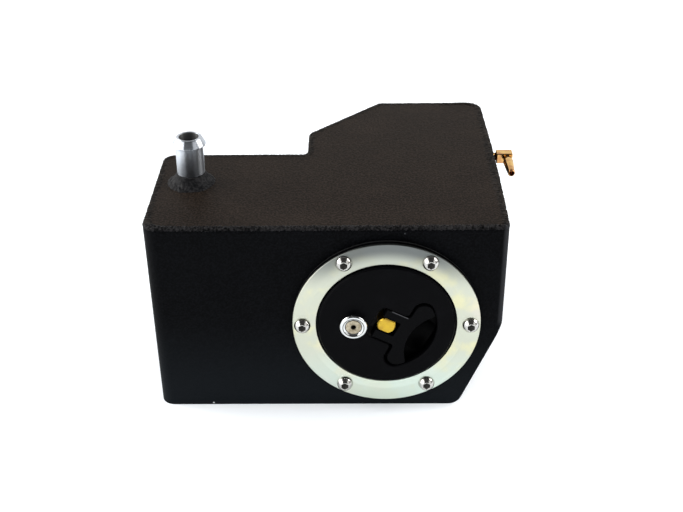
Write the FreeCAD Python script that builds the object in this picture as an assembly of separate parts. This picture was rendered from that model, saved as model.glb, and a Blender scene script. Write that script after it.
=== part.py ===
import FreeCAD
import Part
import math
import os

# Welded sheet tank with a flush locking filler cap, a hose spigot and a vent elbow.
# Millimetres, +X right, +Y back, +Z up. Origin: underside, centre of the plan rectangle.

# Shell, folded from aluminium sheet and welded
TANK_WIDTH = 200.0
TANK_DEPTH = 170.0
TANK_HEIGHT = 120.0
SHEET = 3.0
LEFT_BAY_DEPTH = 92.5
STEP_FROM_LEFT = 87.5
STEP_LENGTH = 29.8
DIAGONAL_REACH = 45.3
SLANT_FOOT = 23.7
SLANT_RISE = 57.5
FRONT_LEFT_BEND = 8.0
FRONT_RIGHT_BEND = 4.5
BACK_RIGHT_BEND = 10.0
BACK_BEND = 3.0
STEP_BEND = 9.0
INNER_CORNER_FILLET = 3.5
BACK_LEFT_BEND = 7.0
SLANT_BEND = 8.0
BEAD_WIDTH = 4.0
BEAD_CROWN = 0.4
BEAD_ROUND = 1.8

# Filler opening: clamp ring, neck, gasket and tapped backing ring on the front panel
FILLER_FROM_RIGHT = 66.4
RING_OD = 106.0
RING_BAND = 13.0
RING_THICK = 1.5
RING_BEVEL_WIDTH = 4.6
RING_BEVEL_DROP = 0.7
RING_EDGE = 0.3
NECK_LEDGE = 6.0
NECK_WALL = 3.0
NECK_FLANGE = 2.0
NECK_REACH = 18.8
NECK_LEAD_IN = 0.8
NECK_HOLE_CLEARANCE = 0.4
GASKET_THICK = 1.0
BACKING_THICK = 6.0
BACKING_MARGIN = 1.0

# Button head screws that hold the ring
SCREW_COUNT = 6
SCREW_EDGE = 5.5
SCREW_D = 5.0
SCREW_HEAD_D = 9.5
SCREW_HEAD_HEIGHT = 2.75
SCREW_HEAD_FLAT_D = 4.6
SCREW_SHOULDER_D = 8.03
SCREW_SHOULDER_HEIGHT = 1.815
SCREW_SOCKET = 3.0
SCREW_SOCKET_DEPTH = 1.6
SCREW_TAIL = 0.5
SCREW_HOLE_CLEARANCE = 0.25
THREAD_CLEARANCE = 0.05

# Cap: moulded plug with a recess for the folding T-handle
CAP_PROUD = 0.9
CAP_GAP = 1.1
CAP_RIM_CHAMFER = 0.9
PLUG_CLEARANCE = 0.6
PLUG_REACH = 10.0
HANDLE_ANGLE = -27.0
RECESS_RIM = 10.2
RECESS_EDGE = 0.4
RECESS_STEM_HALF = 10.8
RECESS_HEEL = 8.5
RECESS_BAR_START = 8.2
RECESS_DEPTH = 6.6
RECESS_TIP_ROUND = 6.0
RECESS_NECK_ROUND = 2.5
RECESS_HEEL_ROUND = 4.0
SCOOP_RADIUS = 16.0
SCOOP_CENTRE = 21.0
SCOOP_DEPTH = 11.0

# T-handle with two cam cheeks on a cross pin
HANDLE_GAP = 0.6
HANDLE_SWING_GAP = 1.6
HANDLE_NECK_ROUND = 2.0
HANDLE_SINK = 0.3
HANDLE_THICK = 5.5
HANDLE_WAIST = 14.7
HANDLE_HOLLOW = 26.0
HANDLE_TIP_ROUND = 1.4
HANDLE_EDGE = 0.6
PIN_DEPTH = 4.2
PIN_D = 3.0
PIN_RUNNING = 0.05
CAM_FOLDED = 6.2
CAM_RAISED = 4.4
CAM_FOOT = 3.0
CAM_CLEARANCE = 0.3
CAM_PLATE_THICK = 1.0
CAM_PLATE_HALF = 6.0
CAM_PLATE_GAP = 0.4

# Draw stem with its squeezed seal, pressure plate, washer and nut
STEM_D = 10.5
STEM_FLATS = 8.6
STEM_SINK = 0.2
STEM_HEAD = 8.4
STEM_CHAMFER = 0.6
STEM_SLOT_GAP = 0.6
STEM_SLOT_END = 1.45
SHANK_D = 8.0
SHANK_RUNNING = 0.05
SHANK_END_CHAMFER = 0.8
SHANK_TAIL = 1.3
ORING_CORD = 1.8
ORING_GAP = 0.08
ORING_LAND = 0.8
SEAL_HEIGHT = 5.0
SEAL_WIDTH = 4.8
PLATE_THICK = 2.0
PLATE_MARGIN = 2.4
NUT_ACROSS_FLATS = 13.0
NUT_HEIGHT = 6.5
WASHER_D = 16.0
WASHER_THICK = 1.2

# Key lock through the cap, with a tongue that hooks behind the neck
LOCK_INSET = 14.8
LOCK_RISE = 1.8
BEZEL_D = 15.6
BEZEL_PROUD = 4.2
BEZEL_ROUND = 1.2
BEZEL_LAND = 0.6
BEZEL_STEP = 0.5
BARREL_D = 12.0
BARREL_FIT = 0.05
KEY_BORE_D = 8.2
KEY_COUNTERSINK_D = 10.8
KEY_COUNTERSINK_DEPTH = 1.2
KEY_RUNNING = 0.06
KEY_FACE_D = 7.6
KEY_FACE_LENGTH = 4.0
KEY_POST_HOLE_D = 2.6
KEY_POST_HOLE_DEPTH = 3.0
LOCK_NUT_ACROSS_FLATS = 15.0
LOCK_NUT_HEIGHT = 3.5
BARREL_PLATE_GAP = 0.6
TONGUE_THICK = 2.0
TONGUE_WIDTH = 9.0
TONGUE_OVERLAP = 1.4
TONGUE_GAP = 0.5
TONGUE_TAIL_D = 5.0
TONGUE_SCREW_HEAD_D = 7.0
TONGUE_SCREW_HEAD_HEIGHT = 2.0
TONGUE_SCREW_D = 3.0
TONGUE_SCREW_LENGTH = 8.0
TONGUE_TIP_ROUND = 2.0
TONGUE_EYE_MARGIN = 1.0

# Hose spigot and its weld on the top plate
SPIGOT_FROM_LEFT = 20.5
SPIGOT_FROM_FRONT = 57.0
SPIGOT_D = 16.0
SPIGOT_BORE = 10.8
SPIGOT_HEIGHT = 29.0
SPIGOT_BEAD_D = 17.8
SPIGOT_BEAD_LENGTH = 1.0
SPIGOT_NOSE = 2.6
SPIGOT_RIM_WALL = 1.2
SPIGOT_WELD_D = 26.0
SPIGOT_WELD_HEIGHT = 6.0
SPIGOT_WELD_LIP = 0.5
SPIGOT_WELD_WAIST_OUT = 1.62
SPIGOT_WELD_WAIST_UP = 2.4

# Vent elbow in a boss behind the right side
VENT_FROM_FRONT = 104.0
VENT_BELOW_TOP = 8.0
VENT_THREAD_D = 5.0
VENT_STANDOFF = 4.3
VENT_BOSS_D = 9.4
VENT_BOSS_LENGTH = 5.0
ELBOW_BLOCK = 6.5
ELBOW_BLOCK_LENGTH = 10.0
ELBOW_CORNER = 1.6
BARB_REACH = 23.4
BARB_ROOT_D = 5.0
BARB_RIDGE_D = 6.0
BARB_TIP_D = 4.4
BARB_CONE = 6.5
BARB_LAND = 0.6
BARB_BORE = 3.3
BARB_BORE_BACK = 2.0
VENT_SHANK_BORE = 2.6

# Places worked out from the sizes above
LEFT = -TANK_WIDTH / 2
RIGHT = TANK_WIDTH / 2
FRONT = -TANK_DEPTH / 2
BACK = TANK_DEPTH / 2
STEP_X = LEFT + STEP_FROM_LEFT
BAY_BACK = FRONT + LEFT_BAY_DEPTH
STEP_BACK = BAY_BACK + STEP_LENGTH
WALL_TOP = TANK_HEIGHT - SHEET
FILLER_HEIGHT = TANK_HEIGHT / 2
MARGIN = 10.0

# Filler sizes, from the ring inwards
SCREW_CIRCLE = RING_OD - 2 * SCREW_EDGE
RING_ID = RING_OD - 2 * RING_BAND
CAP_RADIUS = RING_ID / 2 - CAP_GAP
NECK_BORE = RING_ID - 2 * NECK_LEDGE
NECK_RADIUS = NECK_BORE / 2 + NECK_WALL
PLUG_RADIUS = NECK_BORE / 2 - PLUG_CLEARANCE
RECESS_ARC = CAP_RADIUS - RECESS_RIM
LOCK_ACROSS = LOCK_INSET - PLUG_RADIUS

# Levels along the filler axis, from the front panel outwards
FLANGE_FRONT = GASKET_THICK + NECK_FLANGE
RING_FRONT = FLANGE_FRONT + RING_THICK
CAP_FACE = RING_FRONT + CAP_PROUD
HANDLE_TOP = CAP_FACE - HANDLE_SINK
PIN_LEVEL = CAP_FACE - PIN_DEPTH
CAM_SEAT = PIN_LEVEL - CAM_FOLDED - CAM_CLEARANCE
RECESS_FLOOR = CAM_SEAT - CAM_PLATE_THICK
STEM_TOP = CAP_FACE - STEM_SINK
SHANK_TOP = STEM_TOP - STEM_HEAD
SEAL_END = -PLUG_REACH - SEAL_HEIGHT
PLATE_END = SEAL_END - PLATE_THICK
WASHER_END = PLATE_END - WASHER_THICK
NUT_END = WASHER_END - NUT_HEIGHT
TONGUE_FRONT = -NECK_REACH - TONGUE_GAP
TONGUE_END = TONGUE_FRONT - TONGUE_THICK
BARREL_END = TONGUE_FRONT + TONGUE_GAP
BEZEL_FACE = CAP_FACE + BEZEL_PROUD
KEY_FACE = BEZEL_FACE - KEY_COUNTERSINK_DEPTH

UP = FreeCAD.Vector(0, 0, 1)
ORIGIN = FreeCAD.Vector(0, 0, 0)


def vec(x, y, z=0.0):
    return FreeCAD.Vector(x, y, z)


def rounded_outline(corners, inset):
    """Closed wire through corners (x, y, radius), counter-clockwise, moved inwards by inset."""
    count = len(corners)
    points = [vec(x, y) for x, y, radius in corners]
    along = []
    inward = []
    for i in range(count):
        run = points[(i + 1) % count] - points[i]
        run.normalize()
        along.append(run)
        inward.append(vec(-run.y, run.x))
    edges = []
    starts = []
    ends = []
    middles = []
    for i in range(count):
        before = along[i - 1]
        after = along[i]
        turn = before.x * after.y - before.y * after.x
        half = math.atan2(abs(turn), before.dot(after)) / 2
        bisector = inward[i - 1] + inward[i]
        bisector.normalize()
        moved = points[i] + bisector * (inset / math.cos(half))
        radius = corners[i][2] - math.copysign(inset, turn)
        if radius <= 0.05 or corners[i][2] == 0:
            starts.append(moved)
            ends.append(moved)
            middles.append(None)
            continue
        reach = radius * math.tan(half)
        starts.append(moved - before * reach)
        ends.append(moved + after * reach)
        towards = bisector * math.copysign(1.0, turn)
        middles.append(moved + towards * (radius / math.cos(half) - radius))
    for i in range(count):
        if middles[i] is not None:
            edges.append(Part.Arc(starts[i], middles[i], ends[i]).toShape())
        following = starts[(i + 1) % count]
        if ends[i].distanceToPoint(following) > 1e-6:
            edges.append(Part.LineSegment(ends[i], following).toShape())
    return Part.Wire(edges)


def prism(wire, low, high):
    """Upright solid on a wire drawn at height zero."""
    solid = Part.Face(wire).extrude(UP * (high - low))
    solid.translate(UP * low)
    return solid


def disc(radius, low, high, x=0.0, y=0.0):
    return Part.makeCylinder(radius, high - low, vec(x, y, low))


def tube(outer, inner, low, high):
    return disc(outer, low, high).cut(disc(inner, low, high))


def turned(profile):
    """Solid of revolution about Z from (radius, height) points."""
    wire = Part.makePolygon([vec(r, 0, z) for r, z in profile + profile[:1]])
    return Part.Face(wire).revolve(ORIGIN, UP, 360)


def hexagon(across_flats, low, high):
    corner = across_flats / math.sqrt(3)
    turns = [math.radians(60 * i) for i in range(6)]
    points = [vec(corner * math.cos(turn), corner * math.sin(turn)) for turn in turns]
    return prism(Part.makePolygon(points + points[:1]), low, high)


def upright_edges_at(solid, places, reach=0.3):
    """Straight edges parallel to Z that pass close to one of the (x, y) places."""
    found = []
    for edge in solid.Edges:
        first = edge.Vertexes[0].Point
        last = edge.Vertexes[-1].Point
        if math.hypot(first.x - last.x, first.y - last.y) > 1e-4 or abs(first.z - last.z) < 0.1:
            continue
        if any(math.hypot(first.x - x, first.y - y) < reach for x, y in places):
            found.append(edge)
    return found


def level_edges(solid, height):
    """Edges that lie wholly at one height."""
    found = []
    for edge in solid.Edges:
        if all(abs(v.Point.z - height) < 1e-4 for v in edge.Vertexes):
            found.append(edge)
    return found


def on_front(shape):
    """Takes a piece from the filler axis (z outwards) to its place on the front panel."""
    placed = shape.copy()
    placed.rotate(ORIGIN, vec(1, 0, 0), 90)
    placed.translate(vec(RIGHT - FILLER_FROM_RIGHT, FRONT, FILLER_HEIGHT))
    return placed


def in_cap(shape):
    """Takes a piece from the handle's own axes to the filler axis and to the front panel."""
    turned_shape = shape.copy()
    turned_shape.rotate(ORIGIN, UP, HANDLE_ANGLE)
    return on_front(turned_shape)


def in_lock(shape):
    """Takes a piece from the lock's axis to its place in the cap."""
    moved = shape.copy()
    moved.translate(vec(LOCK_ACROSS, LOCK_RISE))
    return on_front(moved)


def around_screws(radius, low, high):
    """One round tool per screw place, about the filler axis."""
    tools = []
    for i in range(SCREW_COUNT):
        angle = 2 * math.pi * i / SCREW_COUNT
        x = SCREW_CIRCLE / 2 * math.cos(angle)
        y = SCREW_CIRCLE / 2 * math.sin(angle)
        tools.append(disc(radius, low, high, x, y))
    return tools


# Shell
PLAN = [
    (LEFT, FRONT, FRONT_LEFT_BEND),
    (RIGHT, FRONT, FRONT_RIGHT_BEND),
    (RIGHT, BACK, BACK_RIGHT_BEND),
    (STEP_X + DIAGONAL_REACH, BACK, BACK_BEND),
    (STEP_X, STEP_BACK, STEP_BEND),
    (STEP_X, BAY_BACK, INNER_CORNER_FILLET),
    (LEFT, BAY_BACK, BACK_LEFT_BEND),
]


def plan_prism(inset, low, high):
    return prism(rounded_outline(PLAN, inset), low, high)


def slant_prism(inset):
    """Everything above the floor and the leaning lower right panel, as a prism along Y."""
    side = LEFT - MARGIN
    corners = [
        (side, 0.0, 0.0),
        (RIGHT - SLANT_FOOT, 0.0, SLANT_BEND),
        (RIGHT, SLANT_RISE, 0.0),
        (RIGHT, TANK_HEIGHT + MARGIN, 0.0),
        (side, TANK_HEIGHT + MARGIN, 0.0),
    ]
    solid = prism(rounded_outline(corners, inset), -BACK - MARGIN, -FRONT + MARGIN)
    solid.rotate(ORIGIN, vec(1, 0, 0), 90)
    return solid


def wall_band():
    """The upright walls, all round, below the top weld."""
    outer = plan_prism(0.0, 0.0, WALL_TOP).common(slant_prism(0.0))
    return outer.cut(plan_prism(SHEET, -MARGIN, TANK_HEIGHT + MARGIN))


def front_share():
    """Plan area that the front wrap takes, mitred at its two upright seams."""
    inner_reach = 2 * SHEET + INNER_CORNER_FILLET
    seam = 2 * SHEET + FRONT_RIGHT_BEND
    points = [
        vec(RIGHT + MARGIN, FRONT - MARGIN),
        vec(RIGHT - seam, FRONT + seam),
        vec(STEP_X + inner_reach, BAY_BACK - inner_reach),
        vec(STEP_X - MARGIN, BAY_BACK + MARGIN),
        vec(LEFT - MARGIN, BAY_BACK + MARGIN),
        vec(LEFT - MARGIN, FRONT - MARGIN),
    ]
    return prism(Part.makePolygon(points + points[:1]), -MARGIN, TANK_HEIGHT + MARGIN)


def front_wrap():
    wall = wall_band().common(front_share())
    cuts = [disc(NECK_RADIUS + NECK_HOLE_CLEARANCE, -2 * SHEET, SHEET)]
    cuts += around_screws(SCREW_D / 2 + SCREW_HOLE_CLEARANCE, -2 * SHEET, SHEET)
    return wall.cut([on_front(c) for c in cuts])


def vent_axis_rod(diameter, low, high):
    """Round bar along X on the vent's axis, between two distances from the right side."""
    place = vec(RIGHT + low, FRONT + VENT_FROM_FRONT, TANK_HEIGHT - VENT_BELOW_TOP)
    return Part.makeCylinder(diameter / 2, high - low, place, vec(1, 0, 0))


def rear_wrap():
    wall = wall_band().cut(front_share())
    return wall.cut(vent_axis_rod(VENT_THREAD_D + 2 * THREAD_CLEARANCE, -2 * SHEET, SHEET))


def base_plate():
    skin = slant_prism(0.0).cut(slant_prism(SHEET))
    return skin.common(plan_prism(SHEET, -MARGIN, TANK_HEIGHT - 2 * SHEET))


def spigot_place(solid):
    solid.translate(vec(LEFT + SPIGOT_FROM_LEFT, FRONT + SPIGOT_FROM_FRONT))
    return solid


def top_plate():
    plate = plan_prism(SHEET, WALL_TOP, TANK_HEIGHT)
    return plate.cut(spigot_place(disc(SPIGOT_D / 2, WALL_TOP - MARGIN, TANK_HEIGHT + MARGIN)))


def top_weld_bead():
    """Corner weld all round the top, crowned a little above both sheets."""
    low = TANK_HEIGHT - BEAD_WIDTH
    high = TANK_HEIGHT + BEAD_CROWN
    ring = plan_prism(-BEAD_CROWN, low, high)
    ring = ring.makeFillet(BEAD_ROUND, level_edges(ring, low) + level_edges(ring, high))
    hollow = plan_prism(BEAD_WIDTH - BEAD_CROWN, low - MARGIN, high + MARGIN)
    walls = plan_prism(0.0, low - MARGIN, WALL_TOP)
    plate = plan_prism(SHEET, low - MARGIN, TANK_HEIGHT)
    return ring.cut([hollow, walls, plate])


# Hose spigot
def hose_spigot():
    top = TANK_HEIGHT + SPIGOT_HEIGHT
    nose_foot = top - SPIGOT_NOSE
    bead_foot = nose_foot - SPIGOT_BEAD_LENGTH
    step = (SPIGOT_BEAD_D - SPIGOT_D) / 2
    bore = SPIGOT_BORE / 2
    rim = bore + SPIGOT_RIM_WALL
    profile = [
        (bore, WALL_TOP),
        (SPIGOT_D / 2, WALL_TOP),
        (SPIGOT_D / 2, bead_foot - step),
        (SPIGOT_BEAD_D / 2, bead_foot),
        (SPIGOT_BEAD_D / 2, nose_foot),
        (SPIGOT_BEAD_D / 2 - step / 2, nose_foot + SPIGOT_NOSE / 2),
        (rim, top),
        (bore, top),
    ]
    return spigot_place(turned(profile))


def spigot_weld():
    """Fillet of weld metal round the foot of the spigot, hollow in section."""
    inner = SPIGOT_D / 2
    foot = SPIGOT_WELD_D / 2
    height = SPIGOT_WELD_HEIGHT
    lip = inner + SPIGOT_WELD_LIP
    waist = vec(lip + SPIGOT_WELD_WAIST_OUT, 0, SPIGOT_WELD_WAIST_UP)
    edges = [
        Part.LineSegment(vec(inner, 0, 0), vec(foot, 0, 0)).toShape(),
        Part.Arc(vec(foot, 0, 0), waist, vec(lip, 0, height)).toShape(),
        Part.LineSegment(vec(lip, 0, height), vec(inner, 0, height)).toShape(),
        Part.LineSegment(vec(inner, 0, height), vec(inner, 0, 0)).toShape(),
    ]
    mound = Part.Face(Part.Wire(edges)).revolve(ORIGIN, UP, 360)
    mound.translate(UP * TANK_HEIGHT)
    return spigot_place(mound)


# Vent
def vent_boss():
    inside = -SHEET - VENT_BOSS_LENGTH
    boss = vent_axis_rod(VENT_BOSS_D, inside, -SHEET)
    return boss.cut(vent_axis_rod(VENT_THREAD_D + 2 * THREAD_CLEARANCE, inside, -SHEET))


def vent_elbow():
    """Brass elbow: threaded shank into the boss, square block, barb towards the front."""
    inside = -SHEET - VENT_BOSS_LENGTH
    block_end = VENT_STANDOFF + ELBOW_BLOCK_LENGTH
    half = ELBOW_BLOCK / 2
    centre_y = FRONT + VENT_FROM_FRONT
    centre_z = TANK_HEIGHT - VENT_BELOW_TOP
    low = centre_z - half
    block_plan = [
        (RIGHT + VENT_STANDOFF, centre_y - half, 0.0),
        (RIGHT + block_end, centre_y - half, 0.0),
        (RIGHT + block_end, centre_y + half, ELBOW_CORNER),
        (RIGHT + VENT_STANDOFF, centre_y + half, 0.0),
    ]
    block = prism(rounded_outline(block_plan, 0.0), low, low + ELBOW_BLOCK)
    cone_foot = BARB_REACH - BARB_CONE
    barb = turned([
        (0.0, 0.0),
        (BARB_ROOT_D / 2, 0.0),
        (BARB_ROOT_D / 2, cone_foot),
        (BARB_RIDGE_D / 2, cone_foot),
        (BARB_RIDGE_D / 2, cone_foot + BARB_LAND),
        (BARB_TIP_D / 2, BARB_REACH),
        (0.0, BARB_REACH),
    ])
    bore = disc(BARB_BORE / 2, -BARB_BORE_BACK, BARB_REACH + MARGIN)
    barb_x = RIGHT + block_end - half
    placed = []
    for piece in (barb, bore):
        piece.rotate(ORIGIN, vec(1, 0, 0), 90)
        piece.translate(vec(barb_x, centre_y, centre_z))
        placed.append(piece)
    shank = vent_axis_rod(VENT_THREAD_D, inside, VENT_STANDOFF)
    through = vent_axis_rod(VENT_SHANK_BORE, inside, block_end - half)
    return block.fuse([shank, placed[0]]).cut([placed[1], through]).removeSplitter()


# Filler
def filler_gasket():
    sheet = tube(RING_OD / 2, NECK_RADIUS + NECK_HOLE_CLEARANCE, 0.0, GASKET_THICK)
    holes = around_screws(SCREW_D / 2 + SCREW_HOLE_CLEARANCE, 0.0, GASKET_THICK)
    return on_front(sheet.cut(holes))


def filler_neck():
    """Moulded neck: flange under the ring and a tube through the front panel."""
    bore = NECK_BORE / 2
    body = turned([
        (bore, -NECK_REACH),
        (NECK_RADIUS, -NECK_REACH),
        (NECK_RADIUS, GASKET_THICK),
        (RING_OD / 2, GASKET_THICK),
        (RING_OD / 2, FLANGE_FRONT),
        (bore + NECK_LEAD_IN, FLANGE_FRONT),
        (bore, FLANGE_FRONT - NECK_LEAD_IN),
    ])
    holes = around_screws(SCREW_D / 2 + SCREW_HOLE_CLEARANCE, GASKET_THICK, FLANGE_FRONT)
    return on_front(body.cut(holes))


def backing_ring():
    """Tapped ring behind the front panel, trimmed clear of the base and the top plate."""
    back = -SHEET - BACKING_THICK
    ring = tube(RING_OD / 2 - BACKING_MARGIN, NECK_RADIUS + BACKING_MARGIN, back, -SHEET)
    ring = on_front(ring.cut(around_screws(SCREW_D / 2 + THREAD_CLEARANCE, back, -SHEET)))
    room = slant_prism(SHEET + BACKING_MARGIN)
    room = room.common(plan_prism(0.0, 0.0, WALL_TOP - BACKING_MARGIN))
    return ring.common(room)


def clamp_ring():
    """Pressed steel ring: flat screw band with an inner band that dips towards the cap."""
    inner = RING_ID / 2
    outer = RING_OD / 2
    body = turned([
        (inner, FLANGE_FRONT),
        (outer, FLANGE_FRONT),
        (outer, RING_FRONT - RING_EDGE),
        (outer - RING_EDGE, RING_FRONT),
        (inner + RING_BEVEL_WIDTH, RING_FRONT),
        (inner, RING_FRONT - RING_BEVEL_DROP),
    ])
    holes = around_screws(SCREW_D / 2 + SCREW_HOLE_CLEARANCE, FLANGE_FRONT, RING_FRONT)
    return on_front(body.cut(holes))


def ring_screws():
    """Six button head screws: domed head, hexagon socket, plain shank."""
    foot = SCREW_HEAD_D / 2
    flat = SCREW_HEAD_FLAT_D / 2
    top = RING_FRONT + SCREW_HEAD_HEIGHT
    shoulder = vec(SCREW_SHOULDER_D / 2, 0, RING_FRONT + SCREW_SHOULDER_HEIGHT)
    edges = [
        Part.LineSegment(vec(0, 0, RING_FRONT), vec(foot, 0, RING_FRONT)).toShape(),
        Part.Arc(vec(foot, 0, RING_FRONT), shoulder, vec(flat, 0, top)).toShape(),
        Part.LineSegment(vec(flat, 0, top), vec(0, 0, top)).toShape(),
        Part.LineSegment(vec(0, 0, top), vec(0, 0, RING_FRONT)).toShape(),
    ]
    head = Part.Face(Part.Wire(edges)).revolve(ORIGIN, UP, 360)
    shank = disc(SCREW_D / 2, -SHEET - BACKING_THICK - SCREW_TAIL, RING_FRONT)
    socket = hexagon(SCREW_SOCKET, top - SCREW_SOCKET_DEPTH, top + MARGIN)
    screw = head.fuse(shank).cut(socket).removeSplitter()
    screws = []
    for i in range(SCREW_COUNT):
        one = screw.copy()
        one.translate(vec(SCREW_CIRCLE / 2, 0))
        one.rotate(ORIGIN, UP, 360.0 * i / SCREW_COUNT)
        screws.append(on_front(one))
    return Part.makeCompound(screws)


# Cap
def t_prism(gap, swing_gap, heel, neck_round, bottom, top):
    """T-shaped prism about the handle's axes, shrunk from the recess by its gaps, corners rounded."""
    arc = RECESS_ARC - gap
    half = RECESS_STEM_HALF - gap
    start = RECESS_BAR_START + swing_gap
    stem = Part.makeBox(start + heel + half, 2 * half, top - bottom, vec(-heel, -half, bottom))
    bar = disc(arc, bottom, top)
    bar = bar.common(Part.makeBox(arc, 2 * arc, top - bottom, vec(start, -arc, bottom)))
    body = bar.fuse(stem).removeSplitter()
    tip = math.sqrt(arc ** 2 - start ** 2)
    tips = upright_edges_at(body, [(start, tip), (start, -tip)])
    body = body.makeFillet(min(RECESS_TIP_ROUND, (tip - half) / 2) - gap, tips)
    necks = upright_edges_at(body, [(start, half), (start, -half)])
    return body.makeFillet(neck_round, necks)


def handle_recess():
    """Space for the handle: shallow under its bar, deep under the cams, scooped for fingers."""
    top = CAP_FACE + MARGIN
    well = t_prism(0.0, 0.0, RECESS_HEEL, RECESS_NECK_ROUND, CAP_FACE - RECESS_DEPTH, top)
    heel_corners = [(-RECESS_HEEL, RECESS_STEM_HALF), (-RECESS_HEEL, -RECESS_STEM_HALF)]
    well = well.makeFillet(RECESS_HEEL_ROUND, upright_edges_at(well, heel_corners))
    pit = Part.makeBox(
        RECESS_HEEL + RECESS_BAR_START,
        2 * RECESS_STEM_HALF,
        top - RECESS_FLOOR,
        vec(-RECESS_HEEL, -RECESS_STEM_HALF, RECESS_FLOOR),
    )
    pit = pit.makeFillet(RECESS_HEEL_ROUND, upright_edges_at(pit, heel_corners))
    bowl = Part.makeSphere(SCOOP_RADIUS, vec(SCOOP_CENTRE, 0, CAP_FACE - SCOOP_DEPTH + SCOOP_RADIUS))
    bowl_foot = CAP_FACE - SCOOP_DEPTH - MARGIN
    bowl = bowl.common(t_prism(0.0, 0.0, RECESS_HEEL, RECESS_NECK_ROUND, bowl_foot, top))
    return well.fuse([pit, bowl])


def lies_on_rim(edge):
    """True for the round edge of the cap's face."""
    return all(math.hypot(v.Point.x, v.Point.y) > RECESS_ARC + RECESS_EDGE for v in edge.Vertexes)


def cap_plug():
    """Moulded plug: flat face with a chamfered rim, the handle's recess and the lock's hole."""
    face = CAP_FACE - CAP_RIM_CHAMFER
    body = turned([
        (0.0, -PLUG_REACH),
        (PLUG_RADIUS, -PLUG_REACH),
        (PLUG_RADIUS, FLANGE_FRONT),
        (CAP_RADIUS, FLANGE_FRONT),
        (CAP_RADIUS, face),
        (CAP_RADIUS - CAP_RIM_CHAMFER, CAP_FACE),
        (0.0, CAP_FACE),
    ])
    recess = handle_recess()
    recess.rotate(ORIGIN, UP, HANDLE_ANGLE)
    body = body.cut(recess)
    mouth = [e for e in level_edges(body, CAP_FACE) if not lies_on_rim(e)]
    body = body.makeChamfer(RECESS_EDGE, mouth)
    shank_hole = disc(SHANK_D / 2 + SHANK_RUNNING, -PLUG_REACH - MARGIN, CAP_FACE)
    groove_low = -PLUG_REACH + ORING_LAND
    groove_radius = SHANK_D / 2 + ORING_GAP + ORING_CORD
    groove = disc(groove_radius, groove_low, groove_low + ORING_CORD)
    barrel_radius = BARREL_D / 2 + BARREL_FIT
    barrel_hole = disc(barrel_radius, -PLUG_REACH - MARGIN, CAP_FACE + MARGIN, LOCK_ACROSS, LOCK_RISE)
    return on_front(body.cut([shank_hole, groove, barrel_hole]))


def cap_seal():
    return on_front(tube(PLUG_RADIUS, PLUG_RADIUS - SEAL_WIDTH, SEAL_END, -PLUG_REACH))


def stem_oring():
    level = -PLUG_REACH + ORING_LAND + ORING_CORD / 2
    middle = SHANK_D / 2 + ORING_GAP + ORING_CORD / 2
    return on_front(Part.makeTorus(middle, ORING_CORD / 2, vec(0, 0, level)))


def cam_plate():
    """Wear plate under the cams, in the floor of the recess."""
    half = RECESS_STEM_HALF - CAM_PLATE_GAP
    plate = Part.makeBox(
        2 * CAM_PLATE_HALF,
        2 * half,
        CAM_PLATE_THICK,
        vec(-CAM_PLATE_HALF, -half, RECESS_FLOOR),
    )
    hole = disc(SHANK_D / 2 + CAM_CLEARANCE, RECESS_FLOOR, CAM_SEAT)
    return in_cap(plate.cut(hole))


def cam_cheeks():
    """Side profile of the cams below the pin, across the whole stem of the handle."""
    half = RECESS_STEM_HALF - HANDLE_GAP
    bottom = HANDLE_TOP - HANDLE_THICK
    foot = PIN_LEVEL - CAM_FOLDED
    middle = (CAM_FOLDED + CAM_RAISED) / 2 * math.sqrt(0.5)
    shoulder = CAM_FOOT + bottom - foot
    heel_point = vec(-CAM_RAISED, -half, PIN_LEVEL)
    foot_start = vec(0, -half, foot)
    foot_end = vec(CAM_FOOT, -half, foot)
    slope_end = vec(shoulder, -half, bottom)
    inside = vec(shoulder, -half, PIN_LEVEL)
    edges = [
        Part.Arc(heel_point, vec(-middle, -half, PIN_LEVEL - middle), foot_start).toShape(),
        Part.LineSegment(foot_start, foot_end).toShape(),
        Part.LineSegment(foot_end, slope_end).toShape(),
        Part.LineSegment(slope_end, inside).toShape(),
        Part.LineSegment(inside, heel_point).toShape(),
    ]
    return Part.Face(Part.Wire(edges)).extrude(vec(0, 2 * half, 0))


def t_handle():
    """Moulded T-handle: hollow-edged bar, forked stem and two cam cheeks."""
    bottom = HANDLE_TOP - HANDLE_THICK
    arc = RECESS_ARC - HANDLE_GAP
    centre = HANDLE_WAIST + HANDLE_HOLLOW
    body = t_prism(HANDLE_GAP, HANDLE_SWING_GAP, CAM_RAISED, HANDLE_NECK_ROUND, bottom, HANDLE_TOP)
    body = body.cut(disc(HANDLE_HOLLOW, bottom, HANDLE_TOP, centre))
    tip_u = (arc ** 2 - HANDLE_HOLLOW ** 2 + centre ** 2) / (2 * centre)
    tip_v = math.sqrt(arc ** 2 - tip_u ** 2)
    body = body.makeFillet(HANDLE_TIP_ROUND, upright_edges_at(body, [(tip_u, tip_v), (tip_u, -tip_v)]))
    body = body.makeFillet(HANDLE_EDGE, level_edges(body, HANDLE_TOP))
    body = body.fuse(cam_cheeks()).removeSplitter()
    slot_half = STEM_FLATS / 2 + STEM_SLOT_GAP
    slot_end = STEM_D / 2 + STEM_SLOT_END
    slot_corner = vec(-RECESS_ARC, -slot_half, -RECESS_ARC / 2)
    slot = Part.makeBox(slot_end + RECESS_ARC, 2 * slot_half, RECESS_ARC, slot_corner)
    pin_hole = Part.makeCylinder(
        PIN_D / 2 + PIN_RUNNING,
        2 * RECESS_STEM_HALF,
        vec(0, -RECESS_STEM_HALF, PIN_LEVEL),
        vec(0, 1, 0),
    )
    return in_cap(body.cut([slot, pin_hole]))


def handle_pin():
    half = RECESS_STEM_HALF - HANDLE_GAP
    return in_cap(Part.makeCylinder(PIN_D / 2, 2 * half, vec(0, -half, PIN_LEVEL), vec(0, 1, 0)))


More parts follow.
